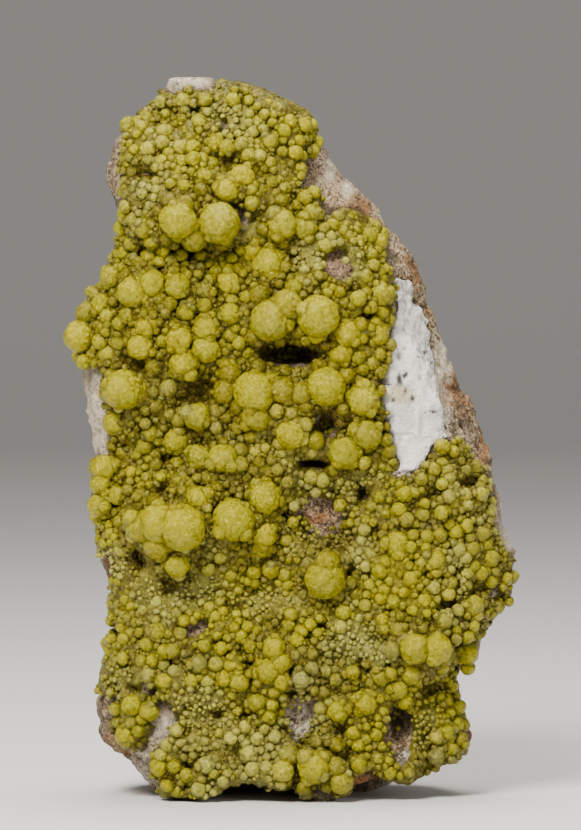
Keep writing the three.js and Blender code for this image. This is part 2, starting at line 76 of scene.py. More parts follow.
# Nodules read off the front, region by region: (across, up, radius) in mm
NODULES = [
    # knob
    (-16, 82.6, 2.8), (-10.2, 82.2, 3), (-13.8, 80.2, 2.1), (-15.2, 84.6, 1.6), (-17.3, 85.4, 1.3),
    (-15.1, 87.4, 1.1), (-12.4, 88.7, 1.3), (-9.2, 86.8, 1.8), (-7, 88.6, 1.9), (-15.9, 89.4, 1), (-18.3, 90.9, 1),
    (-20.3, 91.1, 0.9), (-23.4, 91.2, 1.1), (-10.8, 93.3, 1.4), (-9.2, 92.7, 1.3), (-7, 93.2, 1.2), (-6, 91.5, 1.2),
    (-12.7, 91.5, 0.9), (-23.1, 83.2, 1.7), (-24.2, 81.3, 1.2), (-20.9, 81.3, 1.35), (-19.8, 79.6, 1.3),
    (-22.5, 79.3, 1.3), (-21, 86.3, 1), (-23.8, 86.5, 1), (-19, 86.8, 0.9), (-5.6, 85, 1.2), (-4.2, 86.8, 0.9),
    (-2.8, 87.8, 1), (-1.5, 85.3, 1.2), (-0.9, 87, 1), (-1.4, 81.9, 2.3), (1.8, 81.6, 1.8), (2.8, 83.4, 1.5),
    (-3, 93.6, 1.3), (0.5, 92.5, 1), (2.2, 94.3, 1.3), (-2.2, 98, 1.2), (-8.3, 99.4, 1.2),
    # upper swell
    (-3.2, 76.3, 2.5), (-5.4, 78.2, 1.9), (-8.8, 73.8, 1.75), (-12.2, 72.7, 1.4), (-13.2, 74.8, 0.9),
    (-16.1, 73.2, 1.95), (-19.7, 73.6, 2.1), (-22.4, 72.4, 2.3), (-25.5, 74.2, 1.8), (-24.4, 76.4, 1),
    (-22.3, 76.3, 0.9), (-26.8, 70.3, 1.7), (-29.1, 69.2, 1.6), (-30.1, 65.9, 2.4), (-26.7, 67.2, 1.35),
    (-25.9, 63.5, 1.6), (-23.2, 69, 1.4), (-20.6, 67.5, 1.55), (-21.4, 64.6, 1.95), (-19.6, 61.7, 1.25),
    (-12.2, 70.6, 1.2), (-14.9, 69.6, 1.3), (-12, 67.5, 2), (-12.1, 64.4, 2.2), (-15.9, 66, 2), (-15.3, 62.2, 2.1),
    (-18.3, 65.5, 1), (-8.6, 69.4, 1.6), (-4.5, 72.1, 1.6), (-0.6, 70.7, 2.3), (-3, 68.5, 3), (3.7, 69.1, 3.1),
    (7.8, 66.6, 2.1), (12, 66.5, 1.9), (6.9, 63.7, 1.7), (-5.3, 66.2, 1.4), (1.2, 74, 1.1), (2.6, 74.4, 0.9),
    (9.5, 63.2, 1.2), (12.6, 61, 1),
    # right shoulder
    (10.4, 74.5, 1.3), (12.3, 75.2, 1.2), (12.4, 72.1, 1.9), (12.5, 69.3, 1.3), (11.5, 81.3, 1.4), (9.2, 79.3, 1.3),
    (12.8, 80.3, 1.2), (11, 77.5, 1.3), (8, 82.8, 1.1), (5.8, 81.8, 1.1),
    # middle
    (-23.9, 58.6, 3), (-21.7, 57.8, 1.6), (-25.6, 58, 1.8), (-17.5, 58.8, 1.4), (-19.2, 56.3, 1.2),
    (-13.4, 54.8, 2.05), (-17.2, 55, 1), (-16, 54.3, 1.2), (-20.1, 52.3, 1.25), (-16.4, 51.3, 1.8), (-25, 53.8, 1.9),
    (-25.3, 50.4, 1), (-5.2, 58.4, 3.1), (-5, 54.9, 2.2), (-9.3, 58.3, 1.9), (-8.5, 60.9, 1.8), (-1.3, 58.6, 2),
    (1.3, 58.1, 1.8), (4.9, 59.1, 2.9), (7.8, 60.5, 1.3), (10.1, 57.3, 2.4), (10.6, 52.4, 2.35), (13.7, 50, 1.2),
    (0, 52.6, 2.4), (3.2, 51.5, 1.5), (7.6, 50, 2.4), (-13, 48.9, 1.9), (-9.8, 48.8, 2.2), (-7.2, 48, 1.3),
    (-12, 46, 1), (-10.6, 44.7, 1.1), (-22.7, 46.8, 1), (-20.5, 46.1, 0.9), (-26.5, 47.2, 2.1), (-25, 47.6, 1.3),
    (-27, 45, 1.7), (-24.6, 43.5, 1.5), (-27.2, 41.9, 1.8), (22.9, 49.7, 1), (21.3, 48, 1), (20.2, 47.2, 1.1),
    (21.9, 47.2, 1), (22.3, 46, 1),
    # largest clusters
    (-15.4, 39.3, 3.4), (-18.7, 39.8, 3), (-21.3, 39.3, 2.3), (-19, 36.8, 2.2), (-16.2, 34, 2), (-13.2, 43.2, 1.9),
    (-19.5, 42.8, 1.1), (-8.2, 40.3, 3.1), (-4, 43.4, 2.6), (-4, 38, 2), (-4.3, 36.5, 1.8), (-25.2, 37.5, 1.2),
    (-23.9, 35.9, 1.2), (4.7, 31.8, 3), (5, 34, 2), (-3, 33, 1.3), (-1, 32.3, 1.1), (-5.3, 32.7, 1.1),
    # right field
    (14.9, 36.8, 1.8), (16.3, 40.2, 1.2), (18.6, 40.9, 1), (20.9, 38, 1.2), (23.2, 38.4, 1.15), (23.6, 35.9, 1.2),
    (25.5, 35.9, 1.3), (24.5, 34.8, 1.2), (26.9, 38, 1.4), (28.2, 34.4, 1.5), (26.8, 32.4, 1.2), (28.3, 31.2, 1.1),
    (30.6, 31.3, 1), (31.5, 31.3, 0.8), (29.3, 27.2, 1.1), (31, 28, 0.8), (25.8, 27.7, 1.7), (20.3, 34.5, 1.5),
    (18.4, 34.3, 1.1), (20.4, 33, 1.1), (17, 32, 1.35), (22.4, 31.2, 1.2), (22.2, 29.6, 1.1), (18.8, 28.7, 1.1),
    (14.5, 28.6, 1.15), (12.4, 33, 1.35), (11.2, 35.3, 1), (11.1, 31, 1), (13.1, 30.3, 1.1), (13.3, 41, 0.9),
    (12.5, 43.3, 0.9), (16, 43.8, 1.2), (24.5, 43.4, 1.2), (22.8, 42.5, 1), (27.3, 43.4, 0.9), (28.3, 42.4, 0.9),
    (8.4, 31.2, 1), (10.4, 28.1, 1), (7.4, 27, 1.2), (7, 25, 1.1), (12.9, 26, 1), (15.2, 24.6, 1.2),
    # lower left
    (-22.6, 24, 1.1), (-19, 24.3, 1.4), (-20.5, 22.4, 1.1), (-18, 21.5, 1.1), (-16.9, 21.6, 1.2), (-21.2, 20.2, 1),
    (-20.3, 18.1, 1.25), (-18, 17.2, 1.35), (-16.6, 18.7, 1), (-13.2, 19.8, 1.4), (-10.6, 19.8, 1.2),
    (-8.6, 19.6, 1.1), (-14.2, 17.3, 1.1), (-12.3, 22.3, 1.1), (-7.2, 23.7, 1.1), (-9.5, 17.7, 1.3),
    (-7.5, 17.3, 1.6), (-24.4, 11.1, 1.15), (-23.4, 9.2, 1.8), (-22.6, 13.6, 1.6), (-20.2, 12.8, 1.5),
    (-18.5, 6.6, 1.1), (-18.8, 4.8, 1.3), (-16.6, 5.1, 1.1), (-14.9, 3.9, 1.1), (-12.1, 5.4, 1.3), (-13.2, 1.9, 1.15),
    (-16.3, 1.6, 1.1), (-6, 6.9, 1.3), (-3.5, 5, 1.1), (-5.5, 4.8, 1.2), (-19.2, 28.5, 1), (-23, 30, 0.9),
    # lower middle
    (-2.5, 22, 1.7), (-3.4, 18.8, 1.9), (-1.7, 19.9, 1.6), (-1.5, 17.3, 1.5), (1.3, 17.5, 1.4), (-4.9, 14.3, 1.5),
    (-3.3, 12.3, 1.3), (6.6, 13, 1.7), (4.2, 13.3, 1.1), (10.4, 14.2, 1.9), (-0.4, 6.8, 1.6), (-1.2, 4.6, 1.7),
    (3.1, 5.2, 2.4), (6.2, 5.2, 1.5), (7, 3, 1.9), (9.6, 5.4, 1.4), (6.3, 8.2, 1.15), (9.5, 8.1, 1.1),
    (8.8, 9.8, 1.1), (11.8, 9.6, 1.1),
    # lower right
    (17.4, 22, 2.3), (20.6, 21.9, 2.3), (21.6, 25.9, 1.4), (18.5, 24.9, 1), (14.2, 21.8, 1.35), (12.5, 18, 1.4),
    (13.9, 18.4, 1.2), (15, 16.1, 1.6), (17, 16.2, 1), (17, 18.2, 1.6), (16, 14.3, 1.3), (25.1, 20.7, 1.6),
    (25.1, 18.7, 1.1), (25.2, 24.2, 1.1), (23.3, 24.5, 1), (22, 17.5, 1), (21.9, 14, 1.2), (23.8, 13, 1.2),
    (21, 11.3, 1.3), (22, 9.5, 1.5), (20.5, 9, 1.2), (23.5, 10.5, 1.2), (24, 8.5, 1.1), (20.5, 6.2, 1.3),
]

# Parts of the front where nothing larger than a fine druse grows: (across, up, half-width, half-height, paleness)
FINE_PATCHES = [
    (9, 22.8, 4.2, 2.6, 0.9), (13, 20.8, 1.6, 1.6, 1), (-25, 34, 3, 2.2, 0.8), (-15.5, 30.6, 6, 3, 0.75),
    (4.5, 37, 2, 1.4, 0.7), (-13, 13.4, 4.6, 3.2, 0.6), (2, 77.6, 2.6, 2.6, 0.7), (8, 76.4, 2.2, 2.4, 0.8),
    (-4, 28.4, 5, 2, 0.4), (-7, 82.6, 2, 2.4, 0.5), (10, 46.6, 3, 1.6, 0.5), (7, 44.2, 3, 1.8, 0.3),
    (-24, 17.4, 3, 2.4, 0.5), (19, 10, 2.4, 3, 0.3), (-9, 96.6, 3, 2.2, 0.6),
]
# Where the rock itself shows through: (across, up, half-width, half-height)
BARE_PATCHES = [
    (4.4, 40.9, 3.9, 2.6), (15.4, 8.6, 2.1, 4.6), (-18.2, 11.6, 1.8, 2.4), (0.8, 12, 2.4, 3), (-9.8, 96.4, 0.8, 2),
    (-13.8, 97.8, 1.1, 1.1), (-20.6, 15.6, 1.5, 1), (-14.4, 24.5, 2.2, 1.3), (6.8, 76.4, 2.6, 3),
    (-6.6, 83.4, 2, 2.2), (10.3, 2.8, 2.2, 1.3), (0.6, 2.3, 1.2, 0.9), (4.2, 1.2, 1.4, 1.3), (29.4, 29.4, 1.4, 0.9),
    (27, 25.4, 0.9, 0.8),
]
# Outlines on the front inside which the rock is bare: corners as (across, up)
BARE_OUTLINES = [
    [(11.4, 82.6), (12.6, 80.2), (13.6, 77), (14.2, 74), (14.6, 70.5), (14, 68), (14, 62), (12.8, 58.5),
     (13.6, 54), (14.2, 50.6), (15.8, 48.6), (18.5, 48.9), (20.8, 50.6), (23.5, 51.2), (25.6, 49.6), (27.6, 47.2),
     (28.4, 44.5), (28.7, 41), (28.6, 37.5), (30.2, 34.6), (36, 34), (36, 60), (20, 90)],
    [(1.6, 91.2), (1.4, 87.8), (3.6, 85.8), (5, 83.6), (8.6, 84.4), (10.6, 82.9), (13, 83.2), (12, 89),
     (6, 94), (4.4, 92.4)],
    [(-24.3, 78), (-24.4, 82), (-23.8, 85), (-23.9, 88), (-24.4, 92.4), (-23.2, 95), (-30, 96),
     (-30, 78.4)],
    [(-18.6, 99.2), (-15.5, 100.4), (-12.4, 100.6), (-10.4, 101.4), (-9, 105), (-19, 105.5)],
    [(-26.2, 48.5), (-25.7, 53), (-26.2, 57), (-27.2, 61.5), (-33, 62), (-33, 48)],
    [(-25.4, 28.6), (-25, 31), (-25.8, 34.6), (-33, 34.8), (-33, 28.4)],
    [(-18.3, -1), (-18.9, 2.2), (-20, 4.6), (-20.8, 6.6), (-22, 7.2), (-25.2, 7.8), (-25.6, 9.5),
     (-25.6, 12.6), (-24.8, 14.4), (-26.6, 15.4), (-33, 15.6), (-33, -1.2)],
    [(-22.4, 6.6), (-20.6, 9), (-19.6, 10.6), (-20.8, 11.2), (-18.8, 14.2), (-16.6, 12.2), (-17.6, 9.8),
     (-19.4, 7.6), (-20.4, 5.6)],
    [(25, 5.8), (24.9, 7.8), (24.7, 10.6), (30, 11.2), (30, 3), (19.5, 1), (19, 3.4), (22.5, 4.8)],
]
# Hollows between the nodules, given painted shade inside: (across, up, half-width, half-height, depth)
HOLLOWS = [
    (-0.3, 63.6, 4.9, 2, 0), (4.5, 54, 2.5, 2.8, 0), (3.1, 48.1, 2.5, 1.1, 0), (-10.7, 41.4, 1, 1, 1),
    (-1, 40.9, 0.7, 1, 1), (10.1, 43.8, 1.5, 1.8, 0), (6.9, 37.1, 2.2, 1.8, 1.2), (8.6, 33, 0.8, 1.1, 1),
    (-21.8, 34.4, 1, 2.4, 0), (-17.5, 30.8, 1.2, 1.5, 1), (-18.2, 48.5, 1.3, 0.7, 1), (-18, 44, 1.1, 1.1, 1),
    (-21.1, 88.8, 2.4, 1.5, 0), (-9.2, 90.4, 2.3, 1.5, 1), (-14.1, 78.4, 3.3, 1.3, 0), (-7.6, 83.8, 1.4, 1.8, 1.2),
    (0, 77, 0.7, 1, 0.9), (10.3, 68.9, 1.1, 0.7, 1), (-22, 62, 2.1, 1.8, 1.2), (-12.8, 58.2, 2.8, 2.6, 1.4),
    (24.9, 45.2, 1.6, 0.9, 1), (26, 30.3, 1.5, 1, 1), (21.9, 28, 1.9, 1, 1), (16.4, 26.7, 0.7, 0.5, 0.8),
    (23.1, 22.5, 0.6, 0.8, 0.9), (19.6, 16.2, 1.5, 1.2, 1.1), (15, 12, 1.2, 2.5, 0), (6.8, 10.2, 1.3, 1, 1),
    (8, 6.2, 0.6, 1.7, 1), (-24.2, 24, 0.9, 0.9, 0.9), (-17.5, 20, 0.7, 0.7, 0.8), (-22.2, 16, 0.7, 0.6, 0.8),
    (-19.5, 15.6, 0.7, 0.6, 0.8), (-10.6, 12.6, 0.8, 0.7, 0.8), (-6.8, 12.5, 0.8, 0.7, 0.8),
    (-6.2, 20, 0.7, 0.8, 0.8), (-10.2, 22.2, 0.7, 0.6, 0.8), (-6.8, 21.8, 1.3, 0.5, 0.8), (-0.2, 18.9, 0.6, 0.7, 0.8),
    (-0.3, 15.5, 0.7, 0.7, 0.8), (10.2, 19.2, 0.8, 0.8, 0.8), (5.2, 7.1, 0.8, 0.6, 0.8), (1.3, 8.2, 0.8, 0.7, 0.8),
    (-1, 10.2, 0.8, 0.7, 0.8), (-14.6, 5.2, 0.8, 0.7, 0.8), (2.8, 23.9, 0.9, 0.5, 0.8), (4.3, 24.9, 0.9, 0.5, 0.8),
    (20, 43.7, 1.4, 1, 0.6),
]


# Smooth random values from -1 to 1 at points, with features about size across
def noise(points, size, seed):
    scaled = points / size + seed * 17.31
    cell = np.floor(scaled).astype(np.int64)
    part = scaled - cell
    part = part * part * (3 - 2 * part)
    total = np.zeros(len(points))
    for corner in range(8):
        step = np.array([corner & 1, corner >> 1 & 1, corner >> 2 & 1])
        weight = np.prod(np.where(step == 1, part, 1 - part), axis=1)
        total += weight * hashed(cell + step, seed)
    return total


def hashed(cells, seed):
    mixed = (cells[:, 0] * 73856093) ^ (cells[:, 1] * 19349663) ^ (cells[:, 2] * 83492791) ^ (seed * 2654435761)
    mixed = (mixed ^ (mixed >> 13)) * 1274126177 & 0xFFFFFFFF
    mixed = (mixed ^ (mixed >> 16)) & 0xFFFF
    return mixed / 32767.5 - 1


def smooth_step(low, high, values):
    t = np.clip((values - low) / (high - low), 0, 1)
    return t * t * (3 - 2 * t)


# How far inside any of a list of ovals on the front each point is: 1 at the middle, 0 outside
def inside_ovals(points, ovals, soft=0.5):
    best = np.zeros(len(points))
    for across, up, half_width, half_height, *_ in ovals:
        away = np.hypot((points[:, 0] - across) / half_width, (points[:, 2] - up) / half_height)
        best = np.maximum(best, 1 - smooth_step(1 - soft, 1 + soft, away))
    return best


# How far inside an outline on the front each point is, in mm; less than 0 outside
def depth_inside(points, outline):
    x, z = points[:, 0], points[:, 2]
    nearest = np.full(len(points), 1e9)
    inside = np.zeros(len(points), bool)
    for (ax, az), (bx, bz) in zip(outline, outline[1:] + outline[:1]):
        run, rise = bx - ax, bz - az
        along = np.clip(((x - ax) * run + (z - az) * rise) / (run * run + rise * rise), 0, 1)
        nearest = np.minimum(nearest, np.hypot(x - ax - along * run, z - az - along * rise))
        inside ^= ((az > z) != (bz > z)) & (x < ax + run * (z - az) / (rise or 1.0))
    return np.where(inside, nearest, -nearest)


# Share from 0 to 1 by which the rock at each point is bare, judged from the front
def bareness(points):
    ragged = 0.7 * noise(points, 2.6, 21) + 0.4 * noise(points, 1.1, 22)
    ragged *= 1 + 1.8 * smooth_step(-3.0, 3.0, points[:, 1])
    share = 0.85 * inside_ovals(points + 1.5 * ragged[:, None], BARE_PATCHES, 0.3)
    for outline in BARE_OUTLINES:
        share = np.maximum(share, smooth_step(-0.5, 0.5, depth_inside(points, outline) + ragged))
    return share


# Share from 0 to 1 by which the crust at each point is pale and frosty
def paleness_of(points):
    share = smooth_step(0.2, 0.8, noise(points, 7.0, 41) + 0.5 * noise(points, 2.0, 42))
    share *= 0.4 + 0.25 * smooth_step(45.0, 30.0, points[:, 2])
    for patch in FINE_PATCHES:
        share = np.maximum(share, inside_ovals(points, [patch], 0.45) * patch[4])
    return share


# Height of the druse over the rock, in mm: swells a few mm wide
def bed_height(points):
    return BED_RISE + 0.60 * noise(points, 4.6, 31) + 0.30 * noise(points, 2.3, 32)


# Share from 0 to 1 by which each point is in a hollow between the nodules: those read off the front, and small ones
def hollowness(points):
    read_off = inside_ovals(points + 0.5 * noise(points, 1.2, 37)[:, None], HOLLOWS, 0.5)
    return np.maximum(read_off, 0.85 * smooth_step(0.42, 0.62, noise(points, 1.9, 51)))


# How deep the rock lies in the hollows, in mm
def hollow_depths(points):
    depths = np.zeros(len(points))
    for oval in HOLLOWS:
        depths = np.maximum(depths, inside_ovals(points, [oval], 0.5) * oval[4])
    return depths


# 1 on the specimen's front, falling to 0 a little way round its sides
def on_front(points):
    return 1 - smooth_step(-1.0, 4.0, points[:, 1])


# 1 where the photo shows the rock, falling to 0 towards its back
def in_view(points):
    return 1 - smooth_step(5.0, 10.0, points[:, 1])


# Rise and fall of the rock's own surface, in mm, and how deep its pits are; its sides keep to the CAD's outline
def rock_relief(points, normals, cover):
    lumps = 0.50 * noise(points, 6.0, 1) + 0.40 * noise(points, 2.6, 2) + 0.30 * noise(points, 1.3, 3)
    gritty = 0.24 * noise(points, 0.7, 4)
    pits = smooth_step(0.30, 0.7, noise(points, 2.1, 5)) * 0.9 + smooth_step(0.3, 0.6, noise(points, 1.1, 6)) * 0.5
    side = (1 - smooth_step(0.3, 0.9, np.abs(normals[:, 1]))) * in_view(points)
    depths = np.maximum(0.3 * cover * hollowness(points), hollow_depths(points))
    relief = (lumps + gritty - pits * (1 - 0.7 * side)) * (1 - 0.6 * cover)
    return relief + (0.6 * side - 0.2) * (1 - cover) - depths * on_front(points), pits


def vectors_of(rows, name):
    flat = np.empty(len(rows) * 3, np.float32)
    rows.foreach_get(name, flat)
    return flat.reshape(-1, 3).astype(float)


# A mesh's points, in mm
def points_of(mesh):
    return vectors_of(mesh.vertices, "co") / MM


def normals_of(mesh):
    return vectors_of(mesh.vertex_normals, "vector")


def set_points(mesh, points):
    mesh.vertices.foreach_set("co", (points * MM).astype(np.float32).ravel())
    mesh.update()


def set_values(mesh, **named):
    for name, values in named.items():
        attribute = mesh.attributes.new(name, "FLOAT", "POINT")
        attribute.data.foreach_set("value", values.astype(np.float32))


# An object in the scene
def placed(name, data):
    made = bpy.data.objects.new(name, data)
    bpy.context.scene.collection.objects.link(made)
    return made


def tree_of(node):
    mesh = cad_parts[node].data
    corners = [Vector(p) for p in points_of(mesh)]
    return BVHTree.FromPolygons(corners, [tuple(p.vertices) for p in mesh.polygons])


rock_tree = tree_of("matrix_rock")
crust_tree = tree_of("pyromorphite_crust")


def distances_to(tree, points):
    return np.array([tree.find_nearest(Vector(p))[3] for p in points])


def new_piece(name, mesh, node, material):
    piece = placed(name, mesh)
    mesh.materials.clear()
    mesh.materials.append(material)
    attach(piece, "root")
    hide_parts(node)


def evaluated_mesh(piece):
    graph = bpy.context.evaluated_depsgraph_get()
    return bpy.data.meshes.new_from_object(piece.evaluated_get(graph))


# A closed copy of a CAD node's shape with small even faces, its points in mm and its normals
def remeshed(node, voxel):
    source = placed(node + "_source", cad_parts[node].data.copy())
    remesh = source.modifiers.new("even", "REMESH")
    remesh.mode = "VOXEL"
    remesh.voxel_size = voxel * MM
    remesh.use_smooth_shade = True
    mesh = evaluated_mesh(source)
    bpy.data.objects.remove(source)
    return mesh, points_of(mesh), normals_of(mesh)


def material_named(name):
    material = bpy.data.materials.new(name)
    material.use_nodes = True
    return material, Wiring(material.node_tree), material.node_tree.nodes["Principled BSDF"]


# Camera, light and floor
def set_up_stage():
    scene = bpy.context.scene
    target = Vector((-0.14, 0.0, 54.4)) * MM
    elevation = math.radians(3.0)
    distance = 1.1
    camera = bpy.data.cameras.new("camera")
    camera.sensor_fit = "VERTICAL"
    camera.sensor_height = 36.0
    seen_height = 118.6 * MM
    camera.lens = camera.sensor_height * distance / seen_height
    camera.clip_end = 20.0
    seat = placed("camera", camera)
    away = Vector((0.0, -math.cos(elevation), math.sin(elevation)))
    seat.location = target + away * distance
    seat.rotation_euler = (-away).to_track_quat("-Z", "Y").to_euler()
    scene.camera = seat

    world = bpy.data.worlds.new("studio")
    world.use_nodes = True
    set_inputs(world.node_tree.nodes["Background"], {"Color": (1.0, 0.96, 0.90, 1.0), "Strength": 0.25})
    scene.world = world

    # place, size, power and colour of each panel; all face the specimen's middle
    panels = {
        "key": ((-0.16, -0.36, 0.40), 0.20, 6.9, (1.0, 0.95, 0.87)),
        "fill": ((0.42, -0.40, 0.14), 0.35, 1.6, (1.0, 0.95, 0.88)),
        "top": ((0.02, 0.06, 0.46), 0.26, 2.6, (1.0, 0.95, 0.88)),
    }
    for name, (place, size, power, colour) in panels.items():
        light = bpy.data.lights.new(name, "AREA")
        light.size, light.energy, light.color = size, power, colour
        lamp = placed(name, light)
        lamp.location = place
        lamp.rotation_euler = (Vector((0, 0, 0.05)) - lamp.location).to_track_quat("-Z", "Y").to_euler()

    # a pale floor that turns up behind into a backdrop
    half_width, front, back, bend, top = 3.0, -2.5, 0.9, 0.7, 3.0
    turn = [math.pi / 2 * n / 12 for n in range(13)]
    curve = [(back + bend * math.sin(a), bend * (1 - math.cos(a))) for a in turn]
    line = [(front, 0.0)] + curve + [(back + bend, top)]
    corners = [(side * half_width, y, z) for y, z in line for side in (-1, 1)]
    faces = [(2 * n, 2 * n + 1, 2 * n + 3, 2 * n + 2) for n in range(len(line) - 1)]
    floor_mesh = bpy.data.meshes.new("floor")
    floor_mesh.from_pydata(corners, [], faces)
    floor_mesh.shade_smooth()
    floor = placed("floor", floor_mesh)
    material, _, shader = material_named("floor")
    set_inputs(shader, {"Base Color": (0.60, 0.60, 0.60, 1.0), "Roughness": 0.7})
    floor_mesh.materials.append(material)


def set_inputs(node, values):
    for name, value in values.items():
        node.inputs[name].default_value = value


class Wiring:
    """Small helpers to wire material nodes."""

    def __init__(self, tree):
        self.tree = tree

    def node(self, kind, **settings):
        made = self.tree.nodes.new(kind)
        for name, value in settings.items():
            if name in made.inputs:
                made.inputs[name].default_value = value
            else:
                setattr(made, name, value)
        return made

    def link(self, start, end):
        self.tree.links.new(start, end)

    def feed(self, target, value):
        if isinstance(value, bpy.types.NodeSocket):
            self.link(value, target)
        else:
            target.default_value = value

    def read(self, name):
        return self.node("ShaderNodeAttribute", attribute_name=name).outputs["Fac"]

    def noise(self, scale, detail=3.0, roughness=0.6, stretch=None):
        made = self.node("ShaderNodeTexNoise", Scale=scale, Detail=detail, Roughness=roughness)
        place = self.place()
        if stretch:
            shift = self.node("ShaderNodeMapping", Scale=stretch, Rotation=(0.0, 0.25, 0.0))
            self.link(place, shift.inputs["Vector"])
            place = shift.outputs["Vector"]
        self.link(place, made.inputs["Vector"])
        return made.outputs["Fac"]

    def cells(self, scale):
        made = self.node("ShaderNodeTexVoronoi", Scale=scale, feature="F1")
        self.link(self.place(), made.inputs["Vector"])
        return made

    def place(self):
        return self.node("ShaderNodeTexCoord").outputs["Object"]

    def ramp(self, source, *stops):
        made = self.node("ShaderNodeValToRGB")
        elements = made.color_ramp.elements
        while len(elements) < len(stops):
            elements.new(0.5)
        for element, (position, colour) in zip(elements, stops):
            element.position = position
            element.color = (*colour, 1.0)
        self.link(source, made.inputs["Fac"])
        return made.outputs["Color"]

    def steps(self, source, low, high):
        made = self.node("ShaderNodeMapRange")
        set_inputs(made, {"From Min": low, "From Max": high})
        self.link(source, made.inputs["Value"])
        return made.outputs["Result"]

    # Noise spread so that low turns to 0 and high to 1
    def patches(self, low, high, *noise):
        return self.steps(self.noise(*noise), low, high)

    def mix(self, share, first, second):
        made = self.node("ShaderNodeMix", data_type="RGBA")
        for name, kind, value in (("Factor", "VALUE", share), ("A", "RGBA", first), ("B", "RGBA", second)):
            target = next(s for s in made.inputs if s.name == name and s.type == kind)
            self.feed(target, (*value, 1.0) if isinstance(value, tuple) else value)
        return next(s for s in made.outputs if s.type == "RGBA")

    def maths(self, operation, first, second, kind="ShaderNodeMath", output=0):
        made = self.node(kind, operation=operation)
        self.feed(made.inputs[0], first)
        self.feed(made.inputs[1], second)
        return made.outputs[output]

    def times(self, first, second):
        return self.maths("MULTIPLY", first, second)

    # A colour laid over the base by a share times a strength
    def over(self, base, share, strength, colour):
        return self.mix(self.times(share, strength), base, colour)

    # Small flat faces, each tilted its own way: a height in metres
    def tilted_faces(self, cells):
        vectors = "ShaderNodeVectorMath"
        within = self.maths("SUBTRACT", self.place(), cells.outputs["Position"], vectors)
        tilt = self.maths("SUBTRACT", cells.outputs["Color"], (0.5, 0.5, 0.5), vectors)
        return self.maths("DOT_PRODUCT", within, tilt, vectors, "Value")

    def bump(self, height, distance, strength=1.0, before=None):
        made = self.node("ShaderNodeBump", Distance=distance, Strength=strength)
        self.link(height, made.inputs["Height"])
        if before is not None:
            self.link(before, made.inputs["Normal"])
        return made.outputs["Normal"]


# Waxy, translucent yellow-green, frosted where it is worn or fine; painted shade in olive and brown deep between and
# under the nodules, and a painted glow on the flanks of large ones
def pyromorphite_material():
    material, wire, shader = material_named("pyromorphite")
    depth = wire.read("depth")
    pale = wire.read("pale")
    body = wire.ramp(
        wire.read("tint"), (0.0, (0.125, 0.122, 0.034)), (0.35, (0.166, 0.152, 0.008)),
        (0.7, (0.238, 0.216, 0.0)), (1.0, (0.268, 0.228, 0.0)),
    )
    clouds = wire.patches(0.35, 0.7, 420.0, 4.0)
    body = wire.over(body, clouds, 0.3, (0.205, 0.190, 0.0))
    # painted glow: the flanks of large nodules are brightened, as light shining through them would
    body = wire.over(body, wire.read("rim"), 0.4, (0.26, 0.235, 0.0))
    scales = wire.cells(2600.0)
    bright = wire.times(wire.steps(scales.outputs["Color"], 0.55, 1.0), 0.4)
    body = wire.mix(bright, body, (0.29, 0.265, 0.0))
    frost = wire.patches(0.60, 0.74, 1500.0, 5.0, 0.75)
    body = wire.over(body, frost, 0.2, (0.34, 0.31, 0.0))
    body = wire.over(body, pale, 0.8, (0.35, 0.35, 0.10))
    # painted shade: nodules lower than their neighbours, and the druse deep between its knobs, are darkened to olive
    body = wire.over(body, depth, 0.75, (0.072, 0.060, 0.004))
    # painted shade in dark brown under the nodules, in the creases between them and in the caves; on the druse a real
    # brown is mixed in
    body = wire.mix(wire.read("under"), body, (0.038, 0.024, 0.002))
    wire.link(body, shader.inputs["Base Color"])
    wire.link(wire.steps(scales.outputs["Color"], -0.5, 2.0), shader.inputs["Roughness"])
    set_inputs(shader, {
        "Subsurface Weight": 0.45, "Subsurface Radius": (1.0, 0.9, 0.02), "Subsurface Scale": 0.6 * MM,
        "Coat Weight": 0.08, "Coat Roughness": 0.16, "Specular IOR Level": 0.4,
        "Specular Tint": (1.0, 0.86, 0.20, 1.0), "IOR": 1.6,
    })
    grain = wire.bump(wire.noise(3000.0, 4.0, 0.7), 0.10 * MM)
    rough = wire.bump(wire.noise(1100.0, 3.0, 0.6), 0.30 * MM, 0.7, grain)
    faces = wire.bump(wire.tilted_faces(scales), 0.9, 1.0, rough)
    wire.link(faces, shader.inputs["Normal"])
    wire.link(faces, shader.inputs["Coat Normal"])
    return material
